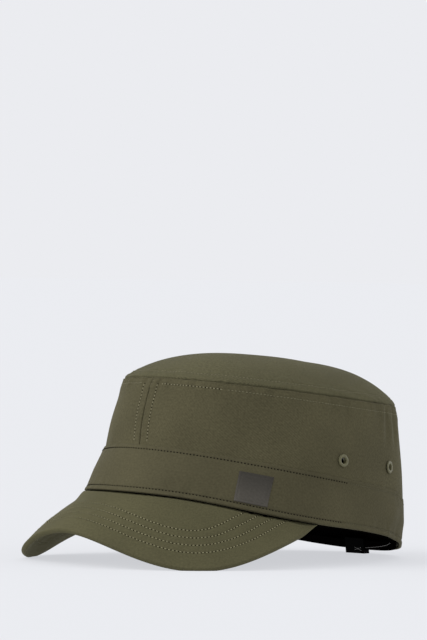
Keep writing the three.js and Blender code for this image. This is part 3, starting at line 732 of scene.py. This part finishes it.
def peak_sheets():
    """The peak's upper and lower sheets, in rows from the band to the rim."""
    along, out = np.meshgrid(np.linspace(-1, 1, PEAK_COLUMNS), PEAK_STEPS)
    plain = peak_face(along, out)
    normal = unit(np.cross(np.gradient(plain, axis=0), np.gradient(plain, axis=1)))
    normal *= np.sign(normal[..., 2:] + 1e-9)
    from_rim = rim_distance(plain)
    above = peak_relief(plain, from_rim, PEAK_UNEVEN_UPPER, PEAK_ROW_UNEVEN_UPPER)
    upper = plain + normal * above[..., None]
    upper[..., 2] += hem_rise(plain, along)
    thinning = PEAK_THINNING * smooth(PEAK_THINNING_FROM, 1, np.abs(along))
    thickness = PEAK_THICKNESS * (1 - thinning)
    below = thickness + peak_relief(plain, from_rim, PEAK_UNEVEN_LOWER, PEAK_ROW_UNEVEN_LOWER)
    lower = plain - normal * below[..., None]
    bulge = unit(plain[-1] - plain[-2]) * PEAK_EDGE_BULGE * (thickness[-1] / PEAK_THICKNESS)[:, None]
    return SimpleNamespace(upper=upper, lower=lower, normal=normal, from_rim=from_rim, bulge=bulge)


def peak(sheets):
    upper, lower = sheets.upper[-1], sheets.lower[-1]
    middle = (upper + lower) / 2
    turns = np.linspace(0, math.pi, 11)[1:-1]
    edge = [middle + (upper - middle) * math.cos(t) + sheets.bulge * math.sin(t) for t in turns]
    points = np.concatenate([sheets.upper, edge, sheets.lower[::-1]])[:, ::-1]
    mesh = grid_mesh("peak_cloth_cover", points, cloth_uv(points))
    new_piece(mesh, peak_cloth, ["peak"])


def peak_row(from_rim, sheet, normal, distance):
    """The line on a peak sheet that stays at a distance from the rim, and its normals."""
    path, out = [], []
    for column in range(4, PEAK_COLUMNS - 4):
        away = from_rim[:, column]
        if away[0] >= distance:
            path.append([np.interp(-distance, -away, sheet[:, column, axis]) for axis in range(3)])
            out.append([np.interp(-distance, -away, normal[:, column, axis]) for axis in range(3)])
    return np.array(path), np.array(out)


# Small pieces
def spin(profile):
    """Rings of points round the Z axis, one for each radius and height."""
    turns = np.linspace(0, 2 * math.pi, RING_SIDES, endpoint=False)
    radius, height = np.array(profile).T[..., None]
    return np.stack([radius * np.cos(turns), radius * np.sin(turns), height + 0 * turns], -1)


def vent_ring(name, side, turn, up):
    """A rolled ring, about its own axis, then turned to the wall."""
    angle = side * math.radians(turn)
    upward = unit(side_point(angle, up + 4, 0) - side_point(angle, up - 4, 0))
    along = side_point(angle + SMALL_ANGLE, up, 0) - side_point(angle - SMALL_ANGLE, up, 0)
    normal = unit(np.cross(along, upward))
    basis = np.array([np.cross(upward, normal), upward, normal])
    roll = tuple(
        (ROLL_AT[0] + ROLL_HALF[0] * math.cos(t), ROLL_AT[1] + ROLL_HALF[1] * math.sin(t))
        for t in np.linspace(0, math.pi, 8))
    points = spin(roll + RING_SECTION + roll[:1]) @ basis + wall_surface(angle, up) + normal * RING_OUT
    uv = np.zeros((points.shape[0], points.shape[1] + 1, 2))
    mesh = grid_mesh(name, points, uv, round_about=True)
    new_piece(mesh, ring_paint, [name.replace("ring", "eyelet")])


def label():
    across, up = np.meshgrid(np.linspace(0, 1, 50), np.linspace(0, 1, 50))
    low_front, low_back, high_back, high_front = np.array(LABEL_CORNERS)
    low = blend(low_front, low_back, across[..., None])
    high = blend(high_front, high_back, across[..., None])
    turn, height = np.moveaxis(blend(low, high, up[..., None]), -1, 0)
    from_edge = np.minimum(np.minimum(across, 1 - across), np.minimum(up, 1 - up)) * LABEL_SIDE
    out = LABEL_OUT + LABEL_FULLNESS * smooth(0, 3, from_edge)
    out = out - LABEL_EDGE_DROP * smooth(0.7, 0, from_edge) ** 2
    out = out - LABEL_ROW_DEPTH * ridge(from_edge, LABEL_ROW, LABEL_ROW_HALF)
    points = band_surface(np.radians(turn), height, out)
    mesh = grid_mesh("label_cloth", points, np.stack([across, up], -1) * LABEL_SIDE)
    thicken(new_piece(mesh, label_weave, ["label"]), LABEL_CLOTH)


def strap_out(angle):
    """The strap leaves the sweatband and hangs further in toward the middle of the back."""
    share = (angle - math.pi) / STRAP_TURN
    return STRAP_END_OUT - STRAP_SAG * np.cos(share * math.pi / 2) ** 2


def strap():
    angle = np.linspace(math.pi - STRAP_TURN, math.pi + STRAP_TURN, 200)
    heights = np.concatenate([
        STRAP_LOW + np.array([0, 0.1, 0.3]), np.linspace(STRAP_LOW + 0.6, STRAP_HIGH - 0.6, 9),
        STRAP_HIGH - np.array([0.3, 0.1, 0])])
    turn, height = np.meshgrid(angle, heights)
    from_edge = np.minimum(height - STRAP_LOW, STRAP_HIGH - height)
    rounded = STRAP_ROUNDING * smooth(STRAP_ROUNDING_HEIGHT, 0, from_edge)
    points = side_point(turn, height, strap_out(turn) - rounded)
    mesh = grid_mesh("strap_elastic", points, cloth_uv(points))
    thicken(new_piece(mesh, black_elastic, ["back_strap"]), STRAP_CLOTH)


# Stitches, each a short thread that comes up out of the cloth and goes down into it
def stitch_faces():
    """The faces of one stitch: round between its sections, and its two ends."""
    last = (len(STITCH_SECTIONS) - 1) * STITCH_SIDES
    faces = [tuple(reversed(range(STITCH_SIDES))), tuple(range(last, last + STITCH_SIDES))]
    for first in range(0, last, STITCH_SIDES):
        for turn in range(STITCH_SIDES):
            here, after = first + turn, first + (turn + 1) % STITCH_SIDES
            faces.append((here, after, after + STITCH_SIDES, here + STITCH_SIDES))
    return faces


def stitch_runs(
        name, runs, material, pitch=2.1, length=1.5, radius=0.28, sink=0.0, start=1.0):
    """runs are pairs of rows of points and their normals, in the cap's frame. start is how many
    pitches into each run its first stitch lies."""
    place, swell, lift = np.array(STITCH_SECTIONS).T
    turns = np.linspace(0, 2 * math.pi, STITCH_SIDES, endpoint=False)[:, None]
    stitches = []
    for path, normal in runs:
        run = lengths_along(path)
        at = np.arange(pitch * start, run[-1] - pitch / 2, pitch)[:, None] + place * length
        spot = np.stack([np.interp(at, run, path[:, axis]) for axis in range(3)], -1)
        out = unit(np.stack([np.interp(at, run, normal[:, axis]) for axis in range(3)], -1))
        aside = unit(np.cross(np.gradient(spot, axis=1), out))
        centre = spot + out * (lift * radius - sink)[:, None]
        ring = aside[:, :, None] * np.cos(turns) + out[:, :, None] * np.sin(turns)
        stitches.append(centre[:, :, None] + ring * (swell * radius)[:, None, None])
    points = np.concatenate(stitches).reshape(-1, 3)
    firsts = range(0, len(points), len(place) * STITCH_SIDES)
    faces = [[first + corner for corner in face] for first in firsts for face in stitch_faces()]
    new_piece(smooth_mesh(name, points, faces), material)


def needle_hole_shade(name, runs, pitch=2.1):
    """Small dark pieces, sunk a little where each stitch goes down into the cloth: painted shade of the
    needle hole.
    """
    stitch_runs(name, runs, painted_hole_shade, pitch, length=0.85, radius=0.34, sink=0.06, start=1.5)


def surface_run(surface, angle, place, step=0.4, turn=0.004):
    """Points and normals along a line on a surface. step is a little way up or inward on it."""
    here = surface(angle, place)
    beyond = surface(angle, place + step)
    after = surface(angle + turn, place)
    return here, unit(np.cross(after - here, beyond - here))


def turns_between(first, last, count):
    return np.radians(np.linspace(first, last, count))


def wall_rows():
    """Rows beside the seams and along the top: those in front show clearly, the others less."""
    heights = np.linspace(BAND_HEIGHT + 0.6, 73, 200)
    aside = SEAM_ROW_ASIDE / (HEM_WIDTH / 2)
    front = [surface_run(wall_surface, seam_angle(heights) + sign * aside, heights) for sign in (1, -1)]
    front.append(surface_run(wall_surface, turns_between(5.2, 36, 400), TOP_ROW_HEIGHT))
    stitch_runs("wall_stitches_front", front, crown_thread)
    needle_hole_shade("wall_hole_shade_front", front)
    left = np.linspace(math.radians(36.5), math.pi - aside, 1000)
    right = np.linspace(math.pi + aside, 2 * math.pi - aside, 900)
    others = [surface_run(wall_surface, turn, TOP_ROW_HEIGHT) for turn in (left, right)]
    others += [surface_run(wall_surface, math.pi + sign * aside, heights) for sign in (1, -1)]
    stitch_runs("wall_stitches_round", others, soft_thread)


def top_row():
    row = surface_run(top_surface, np.linspace(0, 2 * math.pi, 1600), TOP_PANEL_ROW, step=-0.006)
    stitch_runs("top_stitches", [row], soft_thread)


def band_rows():
    """Rows at the band's upper edge and at the hem: in front painted dark as the shade of their grooves and
    needle holes, quiet at the back.
    """
    front, back = [
        [surface_run(band_surface, turns, height) for height in (BAND_ROW_HEIGHT, HEM_ROW_HEIGHT)]
        for turns in (turns_between(-110, 90, 1000), turns_between(90.5, 249.5, 800))]
    stitch_runs(
        "band_stitches_front", front, band_thread_painted_shade, pitch=2.0, length=1.2, radius=0.36)
    stitch_runs("band_stitches_back", back, quiet_thread, pitch=2.0, length=1.4)


def peak_rows(sheets):
    upper = [peak_row(sheets.from_rim, sheets.upper, sheets.normal, row) for row in PEAK_ROWS_FROM_RIM]
    lower = [peak_row(sheets.from_rim, sheets.lower, -sheets.normal, row) for row in PEAK_ROWS_FROM_RIM]
    stitch_runs("peak_stitches", upper, peak_thread, pitch=2.2, length=1.4, radius=0.3)
    stitch_runs("peak_stitches_under", lower, soft_thread, pitch=2.2, length=1.6)
    needle_hole_shade("peak_hole_shade", upper, pitch=2.2)


def strap_run(turn, heights, inward):
    """A line on the inner face of the strap or its adjuster, and the way inward."""
    angle = turns_between(*turn, 300)
    height = np.linspace(*heights, 300)
    out = strap_out(angle) - inward
    face = side_point(angle, height, out)
    return face, side_point(angle, height, out - 1) - face


def strap_rows():
    cross = [
        strap_run(CROSS_TURN, heights, CROSS_INWARD)
        for heights in ((CROSS_LOW, CROSS_HIGH), (CROSS_HIGH, CROSS_LOW))]
    stitch_runs(
        "slider_stitches", cross, grey_thread_and_painted_highlight, pitch=1.5, length=1.2, radius=0.16)
    # A grey thread along the strap's upper edge: a painted highlight where the edge catches the light.
    edge = [strap_run(HIGHLIGHT_TURN, HIGHLIGHT_HEIGHT, HIGHLIGHT_INWARD)]
    stitch_runs("strap_edge_painted_highlight", edge, grey_thread_and_painted_highlight, pitch=1.2, length=1.3, radius=0.16)


for side_name, side in (("left", 1), ("right", -1)):
    crown_wall(side_name, side)
    for ring_place, (ring_turn, ring_height) in EYELETS.items():
        vent_ring(f"ring_{side_name}_{ring_place}", side, ring_turn, ring_height)
crown_top()
band()
sweatband()
peak_layers = peak_sheets()
peak(peak_layers)
label()
strap()
wall_rows()
top_row()
band_rows()
peak_rows(peak_layers)
strap_rows()

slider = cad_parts["strap_slider"]
slider.data.materials.clear()
slider.data.materials.append(black_plastic)
soft_edges = slider.modifiers.new("soft edges", "BEVEL")
soft_edges.width = SLIDER_ROUNDING * MM
soft_edges.segments = 3

# The floor and the light, in metres
FLOOR_REACH = 40.0
FLOOR_COLOUR, FLOOR_GLOW = (0.2, 0.2, 0.2, 1), (0.59, 0.6, 0.63, 1)
SKY_COLOUR = (0.831, 0.839, 0.871, 1)
SUN_SOFTNESS = math.radians(50)
# Turn from the peak toward the wearer's left, height above the floor, strength
SUNS = {"key": (-28, 33, 1.9), "edge_light": (160, 3, 1.0)}


def pale_floor():
    mesh = bpy.data.meshes.new("floor")
    corners = [(x * FLOOR_REACH, y * FLOOR_REACH, 0) for x, y in ((-1, -1), (1, -1), (1, 1), (-1, 1))]
    mesh.from_pydata(corners, [], [(0, 1, 2, 3)])
    made = bpy.data.objects.new("floor", mesh)
    bpy.context.scene.collection.objects.link(made)
    material, tree, shader = new_material("pale floor")
    set_inputs(tree, shader, {
        "Base Color": FLOOR_COLOUR,
        "Roughness": 1,
        "Specular IOR Level": 0,
        "Emission Color": FLOOR_GLOW,
        "Emission Strength": 1,
    })
    mesh.materials.append(material)


def soft_sun(name, turn, height, strength):
    data = bpy.data.lights.new(name, "SUN")
    data.energy = strength
    data.angle = SUN_SOFTNESS
    sun = bpy.data.objects.new(name, data)
    bpy.context.scene.collection.objects.link(sun)
    turned = Matrix.Rotation(math.radians(turn), 4, "Z")
    sun.matrix_world = turned @ Matrix.Rotation(math.radians(90 - height), 4, "X")


pale_floor()
for sun_name, sun_values in SUNS.items():
    soft_sun(sun_name, *sun_values)
scene = bpy.context.scene
world = bpy.data.worlds.new("studio")
scene.world = world
world.use_nodes = True
set_inputs(world.node_tree, world.node_tree.nodes["Background"], {"Color": SKY_COLOUR, "Strength": 1})

# The camera, turned from the peak toward the wearer's left, with distances in millimetres
AZIMUTH, ELEVATION, ROLL = math.radians(47.0), math.radians(0.64), math.radians(1.0)
CAMERA_DISTANCE = 2833.9
CAMERA_ASIDE, CAMERA_UP = -19.85, 119.0
LENS, SENSOR_WIDTH = 268.6, 36
NEAREST, FARTHEST = 0.1, 200                         # in metres

back = np.array([
    math.sin(AZIMUTH) * math.cos(ELEVATION), -math.cos(AZIMUTH) * math.cos(ELEVATION), math.sin(ELEVATION)])
level_right = np.array([math.cos(AZIMUTH), math.sin(AZIMUTH), 0])
level_up = np.cross(back, level_right)
right = level_right * math.cos(ROLL) + level_up * math.sin(ROLL)
up = level_up * math.cos(ROLL) - level_right * math.sin(ROLL)
eye = (CAP_AT + right * CAMERA_ASIDE + up * CAMERA_UP + back * CAMERA_DISTANCE) * MM
camera_data = bpy.data.cameras.new("camera")
camera_data.lens = LENS
camera_data.sensor_width = SENSOR_WIDTH
camera_data.clip_start, camera_data.clip_end = NEAREST, FARTHEST
camera = bpy.data.objects.new("camera", camera_data)
scene.collection.objects.link(camera)
camera.matrix_world = Matrix(((*right, 0), (*up, 0), (*back, 0), (*eye, 1))).transposed()
scene.camera = camera

scene.render.engine = "CYCLES"
scene.cycles.samples = 300
scene.render.resolution_x, scene.render.resolution_y = 427, 640
scene.view_settings.view_transform = "Standard"
